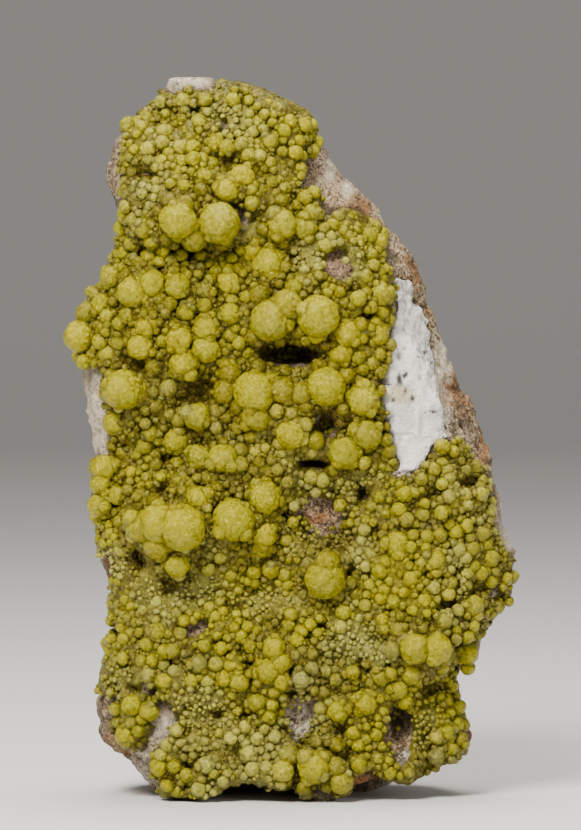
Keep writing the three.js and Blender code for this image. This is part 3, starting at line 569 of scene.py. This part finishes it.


# Vuggy rock: cream and tan grains, pinkish and rusty zones; near-black painted shade in its pits and hollows, and
# painted shade with dark stain on the rock under the crust
def rock_material():
    material, wire, shader = material_named("rock")
    grains = wire.cells(2100.0)
    shades = wire.ramp(
        grains.outputs["Color"], (0.0, (0.16, 0.095, 0.045)), (0.3, (0.36, 0.26, 0.145)),
        (0.6, (0.54, 0.43, 0.27)), (1.0, (0.66, 0.56, 0.38)),
    )
    broad = wire.patches(0.40, 0.65, 160.0, 5.0)
    base = wire.over(shades, broad, 0.6, (0.17, 0.105, 0.055))
    pink = wire.times(wire.read("pink"), wire.patches(0.40, 0.62, 1200.0, 4.0, 0.7))
    base = wire.over(base, pink, 0.8, (0.52, 0.31, 0.17))
    white = wire.times(wire.read("white"), wire.patches(0.33, 0.48, 700.0, 4.0))
    base = wire.over(base, white, 0.85, (0.74, 0.66, 0.51))
    rust = wire.times(wire.read("rust"), wire.patches(0.36, 0.55, 520.0, 5.0, 0.7))
    base = wire.over(base, rust, 0.9, (0.30, 0.115, 0.022))
    cover = wire.read("cover")
    # painted shade and dark stain on the rock under the crust
    base = wire.over(base, cover, 0.92, (0.060, 0.042, 0.008))
    # painted shade in the hollows and pits
    base = wire.mix(wire.read("dark"), base, (0.045, 0.033, 0.016))
    specks = wire.patches(0.52, 0.56, 2300.0, 3.0, 0.75)
    specks = wire.times(specks, wire.steps(wire.read("white"), 1.5, 0.0))
    base = wire.over(base, specks, 0.85, (0.035, 0.022, 0.012))
    blots = wire.times(wire.patches(0.50, 0.56, 1250.0, 4.0, 0.75), wire.read("speckled"))
    base = wire.over(base, blots, 0.9, (0.050, 0.028, 0.014))
    wire.link(base, shader.inputs["Base Color"])
    wire.link(wire.patches(-1.5, 1.4, 900.0), shader.inputs["Roughness"])
    set_inputs(shader, {"Specular IOR Level": 0.35})
    coarse = wire.bump(wire.noise(800.0, 5.0, 0.7), 0.9 * MM)
    fine = wire.bump(grains.outputs["Distance"], 0.30 * MM, 1.0, coarse)
    wire.link(wire.bump(wire.noise(3200.0, 4.0, 0.7), 0.14 * MM, 1.0, fine), shader.inputs["Normal"])
    return material


def seam_material():
    material, wire, shader = material_named("white_mineral")
    broad = wire.ramp(
        wire.noise(260.0, 5.0, 0.65), (0.3, (0.50, 0.475, 0.43)), (0.5, (0.70, 0.68, 0.64)), (0.7, (0.80, 0.78, 0.75))
    )
    fibres = wire.steps(wire.noise(900.0, 4.0, 0.7, (0.5, 1.0, 1.8)), 0.52, 0.66)
    base = wire.over(broad, fibres, 0.45, (0.33, 0.30, 0.25))
    pits = wire.patches(0.60, 0.66, 2400.0, 3.0, 0.75)
    base = wire.over(base, pits, 0.75, (0.13, 0.11, 0.085))
    grit = wire.read("grit")
    base = wire.over(base, grit, 0.85, (0.46, 0.40, 0.24))
    specks = wire.patches(0.50, 0.56, 1700.0, 3.0, 0.75)
    edge = wire.maths("MAXIMUM", wire.read("edge"), wire.times(grit, 0.4))
    base = wire.over(base, specks, edge, (0.045, 0.036, 0.03))
    # dark cracks, and painted shade in the pits
    base = wire.mix(wire.read("dark"), base, (0.035, 0.030, 0.026))
    wire.link(base, shader.inputs["Base Color"])
    set_inputs(shader, {
        "Roughness": 0.85, "Subsurface Weight": 0.1, "Subsurface Radius": (1.0, 1.0, 1.0),
        "Subsurface Scale": 0.4 * MM,
    })
    coarse = wire.bump(wire.noise(700.0, 4.0, 0.7, (0.6, 1.0, 1.6)), 0.45 * MM)
    wire.link(wire.bump(wire.noise(2200.0, 5.0, 0.7), 0.16 * MM, 1.0, coarse), shader.inputs["Normal"])
    return material


# Where a ray from the front meets a solid, or None
def met_from_front(tree, across, up):
    return tree.ray_cast(Vector((across, -60.0, up)), Vector((0.0, 1.0, 0.0)))[0]


# The middle and outward direction of a nodule read off the front, kept in from the rock's side edges
def seated(across, up, radius):
    inwards = -1.0 if across > 0 else 1.0
    for step in range(48):
        at = across + inwards * step * 0.2
        here = met_from_front(rock_tree, at, up)
        beside = met_from_front(rock_tree, at - inwards * min(radius, 1.4), up)
        if here is not None and beside is not None:
            centre = np.array([across, here.y - NODULE_SEAT - NODULE_STANDS_OUT * radius, up])
            break
    else:
        near = rock_tree.find_nearest(Vector((across, -12.0, up)))[0]
        centre = np.array([across, near.y - NODULE_SEAT, up])
    outwards = np.array(rock_tree.find_nearest(Vector(centre))[1]) + np.array([0.0, -1.0, 0.0])
    return centre, outwards / np.linalg.norm(outwards)


# How far outside the CAD crust a point is, in mm; less than 0 inside
def outside_crust(point):
    at, normal, _, away = crust_tree.find_nearest(Vector(point))
    return math.copysign(away, (Vector(point) - at).dot(normal))


# Whether a nodule keeps within the outline that the solids show from the front
def within_outline(centre, radius):
    for across, up in ((0.7, 0), (-0.7, 0), (0, 0.7), (0, -0.7)):
        x, z = centre[0] + across * radius, centre[2] + up * radius
        if all(met_from_front(tree, x, z) is None for tree in (crust_tree, rock_tree)):
            return False
    return True


# Random points on the CAD rock with their outward directions
def rock_samples(rng, count):
    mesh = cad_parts["matrix_rock"].data
    mesh.calc_loop_triangles()
    points = points_of(mesh)
    corners = np.array([t.vertices for t in mesh.loop_triangles])
    a, b, c = points[corners[:, 0]], points[corners[:, 1]], points[corners[:, 2]]
    across = np.cross(b - a, c - a)
    areas = np.linalg.norm(across, axis=1)
    chosen = rng.choice(len(corners), count, p=areas / areas.sum())
    u, v = rng.random((2, count, 1))
    over = (u + v) > 1
    u, v = np.where(over, 1 - u, u), np.where(over, 1 - v, v)
    spots = a[chosen] + u * (b - a)[chosen] + v * (c - a)[chosen]
    outwards = across[chosen] / areas[chosen, None]
    return spots, outwards


class Nodules:
    """The crust's nodules so far, with a grid to find neighbours."""

    CELL = 3.6

    def __init__(self):
        self.centres, self.radii, self.outwards, self.heights = [], [], [], []
        self.grid = {}

    def key(self, point):
        return tuple(int(v // self.CELL) for v in point)

    def has_room(self, centre, radius, closeness):
        cells = itertools.product(*((v - 1, v, v + 1) for v in self.key(centre)))
        near = (n for cell in cells for n in self.grid.get(cell, ()))
        return all(math.dist(self.centres[n], centre) >= closeness * (radius + self.radii[n]) for n in near)

    def add(self, centre, radius, outwards, height):
        self.grid.setdefault(self.key(centre), []).append(len(self.radii))
        self.centres.append(tuple(centre))
        self.radii.append(radius)
        self.outwards.append(tuple(outwards))
        self.heights.append(height)


# One size class of small nodules after another, each into the room that the larger ones leave
SIZES = [
    # count tried, smallest radius, largest radius, height over the bed in radii, spread of height, closeness
    (7000, 0.86, 1.30, -0.10, 0.60, 0.66),
    (24000, 0.56, 0.86, -0.15, 0.65, 0.58),
    (34000, 0.34, 0.56, -0.10, 0.60, 0.58),
]


def add_satellites(nodules, rng):
    for n in range(len(nodules.radii)):
        radius = nodules.radii[n]
        if radius < SATELLITE_PARENT:
            continue
        centre, outwards = np.array(nodules.centres[n]), np.array(nodules.outwards[n])
        for _ in range(rng.integers(3, 8)):
            side = rng.normal(size=3)
            side -= outwards * (side @ outwards)
            side /= np.linalg.norm(side)
            lean = rng.uniform(-0.25, 0.42)
            way = side * math.sqrt(1 - lean * lean) + outwards * lean
            small = rng.uniform(0.30, 0.62) * min(radius, 2.2)
            seat = centre + way * (radius - rng.uniform(0.3, 0.8) * small)
            if seat[2] - small < FLOOR_CLEARANCE or abs(seat[0] - centre[0]) > 2.4:
                continue
            if inside_ovals(seat[None], HOLLOWS, 0.3)[0] > 0.6 or bareness(seat[None])[0] > 0.4:
                continue
            if not LOW[0] + small < seat[0] < HIGH[0] - small:
                continue
            if way[1] > EDGE_ON and outside_crust(seat) > 0.3 or not within_outline(seat, small):
                continue
            nodules.add(seat, small, way, nodules.heights[n] + radius - small)


def grown_nodules():
    rng = np.random.default_rng(11)
    nodules = Nodules()
    for across, up, radius in NODULES:
        centre, outwards = seated(across, up, radius)
        nodules.add(centre, radius, outwards, NODULE_SEAT + NODULE_STANDS_OUT * radius)
    add_satellites(nodules, rng)
    for size_class, (count, smallest, largest, seat, spread, closeness) in enumerate(SIZES):
        spots, outwards = rock_samples(rng, count)
        keep = (spots[:, 1] < 1.6 + 2.0 * noise(spots, 4.5, 53)) & (spots[:, 2] > 0.6)
        spots, outwards = spots[keep], outwards[keep]
        gaps = distances_to(crust_tree, spots)
        fringe = rng.random(len(spots)) * 0.7 * (size_class > 0)
        fine = inside_ovals(spots, FINE_PATCHES, 0.35)
        hollow = hollowness(spots)
        tries = gaps < CRUST_REACH + fringe + 7.0 * inside_ovals(spots, HOLLOWS, 0.3)
        tries &= hollow < (0.35, 0.95, 2.0)[size_class]
        if size_class < 2:
            tries &= fine < 0.15 + 0.7 * rng.random(len(spots)) * (size_class == 1)
        radii = rng.uniform(smallest, largest, len(spots))
        radii *= 0.86 + 0.14 * smooth_step(40, 60, spots[:, 2])
        heights = bed_height(spots) + radii * (seat + spread * rng.random(len(spots)))
        heights += 0.3 * fine - 0.9 * hollow - hollow_depths(spots)
        allowed = 0.3 + (0.3, 0.3, 0.6)[size_class] * rng.random(len(spots))
        tries &= bareness(spots + outwards * heights[:, None]) < allowed
        drift = outwards + 0.35 * rng.normal(size=outwards.shape)
        drift /= np.linalg.norm(drift, axis=1)[:, None]
        for n in np.flatnonzero(tries):
            centre = spots[n] + outwards[n] * heights[n]
            reach = 1.08 * radii[n]
            if centre[2] - reach < FLOOR_CLEARANCE or centre[2] + reach > HIGH[2]:
                continue
            if not LOW[0] < centre[0] - reach < centre[0] + reach < HIGH[0]:
                continue
            if outwards[n][1] > EDGE_ON and outside_crust(centre) > 0.25 or not within_outline(centre, radii[n]):
                continue
            if nodules.has_room(centre, radii[n], closeness):
                nodules.add(centre, radii[n], drift[n], heights[n])
    return nodules


# A ball cut by many small flat faces, with its underside cut off, as a hidden object that is copied later
def facetted_ball(name, subdivisions, faces, depth, cut, seed):
    rng = np.random.default_rng(seed)
    shape = bmesh.new()
    bmesh.ops.create_icosphere(shape, subdivisions=subdivisions, radius=1.0)
    points = np.array([v.co for v in shape.verts])
    directions = rng.normal(size=(faces, 3))
    directions /= np.linalg.norm(directions, axis=1)[:, None]
    lumps = noise(points, 0.8, seed) * 0.05 + noise(points, 0.3, seed + 1) * 0.022
    if subdivisions > 3:
        lumps += noise(points, 0.15, seed + 2) * 0.014
    points *= 1 + lumps[:, None]
    for direction in directions:
        over = np.maximum(points @ direction - (1 - depth * (0.25 + rng.random())), 0)
        points -= over[:, None] * direction
    for vertex, point in zip(shape.verts, points):
        vertex.co = point
    everything = shape.verts[:] + shape.edges[:] + shape.faces[:]
    cut_made = bmesh.ops.bisect_plane(
        shape, geom=everything, plane_co=(0, 0, -cut), plane_no=(0, 0, -1), clear_outer=True
    )
    rim = [e for e in cut_made["geom_cut"] if isinstance(e, bmesh.types.BMEdge)]
    bmesh.ops.contextual_create(shape, geom=rim)
    bmesh.ops.triangulate(shape, faces=shape.faces[:])
    mesh = bpy.data.meshes.new(name)
    shape.to_mesh(mesh)
    shape.free()
    return bpy.data.objects.new(name, mesh)


# Largest radius of each grade of ball, its subdivisions, facets and how deep they cut, and where its underside is cut
GRADES = [
    (0.48, 1, 6, 0.10, 0.40),
    (0.94, 2, 14, 0.12, 0.45),
    (1.65, 3, 30, 0.10, 0.50),
    (2.85, 4, 60, 0.075, 0.65),
    (9.0, 4, 120, 0.045, 0.70),
]
VARIANTS = 5


def ball_makers():
    makers = []
    for grade, (_, subdivisions, faces, depth, cut) in enumerate(GRADES):
        for n in range(VARIANTS):
            makers.append(facetted_ball(f"ball_{grade}_{n}", subdivisions, faces, depth, cut, 100 * grade + n))
    return makers


# A node group that puts a ball on every point, turned and sized, and fuses them into one closed shape
def fusing_group(makers):
    group = bpy.data.node_groups.new("fuse", "GeometryNodeTree")
    for way in ("INPUT", "OUTPUT"):
        group.interface.new_socket("Geometry", in_out=way, socket_type="NodeSocketGeometry")
    nodes, links = group.nodes, group.links
    start, end = nodes.new("NodeGroupInput"), nodes.new("NodeGroupOutput")
    gather = nodes.new("GeometryNodeJoinGeometry")
    for maker in reversed(makers):
        info = nodes.new("GeometryNodeObjectInfo")
        set_inputs(info, {"Object": maker, "As Instance": True})
        links.new(info.outputs["Geometry"], gather.inputs["Geometry"])
    place = nodes.new("GeometryNodeInstanceOnPoints")
    place.inputs["Pick Instance"].default_value = True
    links.new(start.outputs[0], place.inputs["Points"])
    links.new(gather.outputs[0], place.inputs["Instance"])
    to_rotation = nodes.new("FunctionNodeEulerToRotation")
    for name, kind, target in (
        ("kind", "INT", place.inputs["Instance Index"]),
        ("size", "FLOAT", place.inputs["Scale"]),
        ("turn", "FLOAT_VECTOR", to_rotation.inputs[0]),
    ):
        read = nodes.new("GeometryNodeInputNamedAttribute")
        read.data_type = kind
        read.inputs["Name"].default_value = name
        links.new(next(s for s in read.outputs if s.enabled and s.name == "Attribute"), target)
    links.new(to_rotation.outputs[0], place.inputs["Rotation"])
    join = nodes.new("GeometryNodeMeshBoolean")
    join.operation = "UNION"
    join.solver = "MANIFOLD"
    links.new(place.outputs[0], join.inputs["Mesh 2"])
    links.new(join.outputs[0], end.inputs[0])
    return group


def fused_mesh(name, group, centres, radii, outwards, rng):
    mesh = bpy.data.meshes.new(name + "_points")
    mesh.from_pydata((centres * MM).tolist(), [], [])
    set_values(mesh, size=radii * MM)
    kinds = mesh.attributes.new("kind", "INT", "POINT")
    grade = np.searchsorted([g[0] for g in GRADES], radii)
    kinds.data.foreach_set("value", (grade * VARIANTS + rng.integers(0, VARIANTS, len(radii))).astype(np.int32))
    turns = mesh.attributes.new("turn", "FLOAT_VECTOR", "POINT")
    spins = rng.uniform(0, 2 * math.pi, len(radii))
    angles = [
        (Vector(out).to_track_quat("Z", "Y") @ Quaternion((0, 0, 1), spin)).to_euler()
        for out, spin in zip(outwards, spins)
    ]
    turns.data.foreach_set("vector", np.array(angles, np.float32).ravel())
    points = placed(name + "_points", mesh)
    points.modifiers.new("fuse", "NODES").node_group = group
    fused = evaluated_mesh(points)
    bpy.data.objects.remove(points)
    return fused


def kd_tree(centres, chosen):
    tree = KDTree(len(chosen))
    for n in chosen:
        tree.insert(Vector(centres[n]), int(n))
    tree.balance()
    return tree


# What the material needs to know at each vertex, worked out from the nodule that the vertex belongs to
def shade_nodules(mesh, centres, radii, outwards, pale, tints, sunken):
    every = kd_tree(centres, range(len(centres)))
    large = kd_tree(centres, np.flatnonzero(radii > SATELLITE_PARENT))
    points = points_of(mesh)
    owner = np.empty(len(points), np.int64)
    beside = np.empty(len(points))
    for n, point in enumerate(points):
        near = every.find_n(Vector(point), 7) + large.find_n(Vector(point), 4)
        offsets = {m: abs(away - radii[m]) for _, m, away in near}
        owner[n] = min(offsets, key=offsets.get)
        del offsets[owner[n]]
        beside[n] = min(offsets.values())
    # painted shade in the creases, where another nodule's surface is near
    painted_crease_shade = 1 - smooth_step(0.02, 0.20, beside)
    lift = np.einsum("ij,ij->i", points - centres[owner], outwards[owner]) / radii[owner]
    # painted shade on each nodule's underside, towards the rock
    under = 1 - smooth_step(-0.5, 0.25, lift)
    # painted glow on the flanks of large nodules
    painted_glow_ring = smooth_step(-0.1, 0.3, lift) * (1 - smooth_step(0.4, 0.85, lift))
    frosted = smooth_step(0.45, 0.95, lift) * smooth_step(1.3, 2.4, radii[owner])
    frosted *= 0.03 + 0.15 * smooth_step(-0.1, 0.6, noise(points, 1.4, 52))
    set_values(
        mesh,
        tint=tints[owner],
        pale=np.maximum(pale[owner] * (0.6 + 0.4 * smooth_step(-0.2, 0.8, lift)), frosted),
        # painted shade on nodules lower than their neighbours
        depth=sunken[owner],
        under=np.clip(under * (0.55 + 0.45 * sunken[owner]) + 0.5 * painted_crease_shade, 0, 0.95),
        rim=painted_glow_ring * smooth_step(1.2, 2.2, radii[owner]),
    )


def make_crust(material):
    nodules = grown_nodules()
    centres, radii = np.array(nodules.centres), np.array(nodules.radii)
    outwards = np.array(nodules.outwards)
    pale = paleness_of(centres) * (1 - smooth_step(0.9, 2.2, radii))
    tops = np.array(nodules.heights) + radii
    tree = kd_tree(centres, range(len(centres)))
    # nodules lower than the highest one near them are given painted shade
    around = np.array([max(tops[m] for _, m, _ in tree.find_range(Vector(c), SUNKEN_REACH)) for c in centres])
    sunken = smooth_step(0.3, 1.9, around - tops)
    rng = np.random.default_rng(5)
    tints = 0.26 + 0.15 * rng.normal(size=len(radii)) + 0.25 * noise(centres, 9.0, 3)
    tints += 0.30 * smooth_step(0.6, 1.1, radii) + 0.2 * smooth_step(1.1, 2.2, radii)
    tints += 0.45 * (bed_height(centres) - BED_RISE)
    tints = np.clip(tints, 0, 1)
    group = fusing_group(ball_makers())
    for n, (low, high) in enumerate(zip(BANDS, BANDS[1:])):
        band = (centres[:, 2] >= low) & (centres[:, 2] < high)
        name = f"nodules_{n + 1}"
        mesh = fused_mesh(name, group, centres[band], radii[band], outwards[band], rng)
        mesh.name = name
        shade_nodules(mesh, centres[band], radii[band], outwards[band], pale[band], tints[band], sunken[band])
        mesh.shade_smooth()
        mesh.set_sharp_from_angle(angle=math.radians(SHARP_ANGLE))
        new_piece(name, mesh, "pyromorphite_crust", material)


# The druse that fills in between the nodules: the rock's covered faces, raised, with their border sunk in the rock
def make_druse(material):
    mesh, points, normals = remeshed("matrix_rock", VOXELS["druse"])
    gaps = distances_to(crust_tree, points)
    hollow = hollowness(points)
    open_rock = bareness(points + normals * BED_RISE)
    cave = inside_ovals(points, HOLLOWS, 0.3)
    cover = np.maximum(1 - smooth_step(0.6, 1.4, gaps), cave) * (1 - open_rock) * on_front(points)
    cover *= smooth_step(0.3, 1.2, points[:, 2])
    knobs = 0.36 * np.abs(noise(points, 1.5, 33)) + 0.26 * np.abs(noise(points, 0.8, 34))
    bed = bed_height(points) * (1 - 0.7 * hollow) + knobs
    rise = rock_relief(points, normals, cover)[0] + (bed + 0.6) * cover - 0.6
    moved = np.clip(points + normals * rise[:, None], LOW, HIGH)
    moved[:, 2] = np.maximum(moved[:, 2], FLOOR_CLEARANCE)
    set_points(mesh, moved)
    pale = paleness_of(points)
    brown = smooth_step(0.0, 0.5, noise(points, 1.0, 36)) * (1 - pale)
    set_values(
        mesh,
        tint=np.clip(0.2 + 0.4 * noise(points, 3.0, 35), 0, 1),
        pale=pale,
        # painted shade: darker between the knobs and in the hollows
        depth=np.clip(0.75 - 0.9 * knobs + 0.5 * hollow, 0, 1),
        # a real brown over the whole druse, with painted shade in the caves
        under=np.clip(0.3 + 0.5 * brown + 0.5 * cave, 0, 0.9),
        rim=np.zeros(len(points)),
    )
    shape = bmesh.new()
    shape.from_mesh(mesh)
    shape.verts.ensure_lookup_table()
    bare = [shape.verts[int(n)] for n in np.flatnonzero(cover < 0.02)]
    bmesh.ops.delete(shape, geom=bare, context="VERTS")
    shape.to_mesh(mesh)
    shape.free()
    mesh.shade_smooth()
    new_piece("druse", mesh, "pyromorphite_crust", material)


# Zones of the bare rock by colour: (across, up, half-width, half-height), seen from the front
RUSTY = [
    (17, 74, 1.6, 2), (18.7, 68.5, 1.2, 1.6), (23, 58, 1.8, 2.2), (24.8, 55.5, 1.4, 1.8), (9.6, 83.6, 1.8, 2.2),
    (-25.3, 6.6, 2.6, 1.8), (-27, 31.5, 1.4, 3), (10.2, 3.2, 2.6, 1.6), (26, 8.6, 1.8, 2.4), (0.6, 2.4, 1.2, 1.2),
    (27.5, 50, 1.2, 3), (14.8, 4.4, 1.6, 1), (29, 12, 4, 6), (-28, 20, 2, 5), (17.4, 76, 1.6, 1.6),
    (-25.2, 5.4, 3, 2.2), (3.2, 40.4, 2.2, 1.2), (6.6, 42, 1.4, 0.9), (-24.8, 8.4, 2.4, 1),
]
PINKISH = [
    (4.6, 41, 4.6, 3.2), (-13.8, 97.8, 1.4, 1.2), (-18.4, 11.6, 2.4, 2.8), (15.4, 7.8, 2.2, 2), (-14.4, 24, 2.2, 1.6),
    (-15, 101.5, 4, 2), (6.5, 85, 3, 3), (-27, 55, 3, 8), (7, 76, 3, 2.6),
]
WHITISH = [
    (5.4, 89.4, 0.8, 1.6), (-10.4, 97, 0.8, 2), (-24.4, 78.2, 0.8, 1.2), (22, 63, 0.8, 1.2), (28, 50, 0.8, 1.4),
    (31.2, 39.5, 1.8, 6.5), (-21, 3.6, 2.8, 3.2), (16.4, 6, 1.4, 1), (8, 86.6, 0.8, 1.2), (0.8, 12.2, 3, 3.2),
    (21.4, 58, 1.4, 8), (-18.6, 11, 2, 2.4), (-27.6, 55, 2.2, 7.5), (-15, 102, 3.6, 1.6),
]
# Peppered with black and brown
SPECKLED = [
    (-28, 11.5, 2.4, 4.5), (-21, 3.4, 3.6, 4.2), (24.4, 52, 3, 5), (0.8, 11.6, 2.4, 2.8), (-26.4, 84, 1.8, 8),
    (-27.4, 31.5, 1.6, 3), (19.6, 66, 1.6, 5), (4.4, 40.9, 3.9, 2.6), (15.4, 8.6, 2.1, 4.6), (27.6, 8, 2, 4),
]
# Zones of painted shade on the rock, mostly in the hollows and crevices: (across, up, half-width, half-height)
PAINTED_SHADE_ZONES = [
    (-25.4, 81.6, 1, 3.6), (15.6, 11.8, 1.6, 2.6), (-9.8, 98, 0.4, 3.2), (4.2, 1.4, 1.6, 1.4), (-0.6, 63.6, 4.6, 1.8),
    (3, 48, 2.4, 1), (-15.4, 78, 3.6, 0.9), (10.3, 43.8, 1.4, 1.4),
]


def make_rock():
    mesh, points, normals = remeshed("matrix_rock", VOXELS["matrix_rock"])
    gaps = distances_to(crust_tree, points)
    front = on_front(points)
    hollow = inside_ovals(points, HOLLOWS, 0.35) * front
    cover = (1 - smooth_step(0.7, 1.5, gaps)) * (1 - bareness(points) * front)
    rise, pits = rock_relief(points, normals, cover)
    standing = smooth_step(0.2, 1.6, points[:, 2])
    seam_gap = smooth_step(0.2, 1.0, distances_to(tree_of("white_seam"), points))
    points += normals * (rise * standing * (0.25 + 0.75 * seam_gap))[:, None]
    points = np.clip(points, LOW, HIGH)
    set_points(mesh, points)
    near = in_view(points)
    everywhere = smooth_step(0.15, 0.6, noise(points, 14.0, 7))
    chalky = 0.3 * smooth_step(0.3, 0.7, noise(points, 8.0, 9))
    white = inside_ovals(points, WHITISH) * near
    # painted shade in the hollows and crevices
    painted_hollow_shade = np.maximum(inside_ovals(points, PAINTED_SHADE_ZONES) * near, 0.6 * hollow) * 0.8
    # painted shade in the pits
    painted_pit_shade = 0.6 * smooth_step(0.2, 0.8, pits) * (1 - cover) * (1 - 0.7 * white)
    set_values(
        mesh,
        # the rock under the crust, darkened in the material with painted shade and dark stain
        cover=cover,
        rust=np.maximum(inside_ovals(points, RUSTY) * near, 0.75 * everywhere * (1 - near)),
        speckled=0.25 + 0.75 * inside_ovals(points, SPECKLED) * near,
        pink=inside_ovals(points, PINKISH) * near,
        white=np.maximum(white, chalky),
        dark=np.clip(painted_hollow_shade + painted_pit_shade, 0, 1),
    )
    mesh.shade_smooth()
    new_piece("rock", mesh, "matrix_rock", rock_material())


def make_seam():
    mesh, points, normals = remeshed("white_seam", VOXELS["white_seam"])
    pits = smooth_step(0.55, 0.85, noise(points, 1.0, 12))
    rough = 0.16 * noise(points, 1.6, 13) + 0.14 * noise(points, 0.7, 14) + 0.25 * noise(points, 4.0, 15)
    sideways = 1 - smooth_step(0.3, 0.8, np.abs(normals[:, 1]))
    ragged = SEAM_GROWTH + 0.45 * noise(points, 1.5, 16) + 0.25 * noise(points, 0.7, 17)
    points += normals * (rough - 0.35 * pits + ragged * sideways)[:, None]
    set_points(mesh, points)
    cracks = [
        (15.3, 59.9, 0.45, 0.9), (16.1, 60.5, 0.3, 0.4), (19, 63.6, 0.35, 0.3), (18.2, 62.9, 0.6, 0.12),
        (13.7, 53.6, 0.2, 1.1), (13.9, 59.3, 0.3, 0.25), (19.6, 55.3, 1.2, 0.1), (14.3, 57, 0.35, 0.25),
        (17.2, 57.4, 0.3, 0.6), (17, 46.9, 2, 0.2),
    ]
    wander = 0.25 * noise(points, 0.6, 18)[:, None]
    # dark cracks, and painted shade in the pits
    set_values(mesh, dark=np.clip(inside_ovals(points + wander, cracks, 0.5) + 0.5 * pits, 0, 1))
    set_values(mesh, grit=inside_ovals(points + 2 * wander, [(15.3, 57.9, 2.0, 1.6), (16.0, 46.2, 3.4, 0.8)], 0.5))
    edge = np.maximum(inside_ovals(points, [(15.8, 46.2, 2.6, 1.0)], 0.4), sideways * 0.7)
    set_values(mesh, edge=np.maximum(edge, 0.6 * smooth_step(19.5, 21.5, points[:, 0])))
    mesh.shade_smooth()
    new_piece("white_seam_chalk", mesh, "white_seam", seam_material())


set_up_stage()
make_rock()
make_seam()
crust_material = pyromorphite_material()
make_druse(crust_material)
make_crust(crust_material)
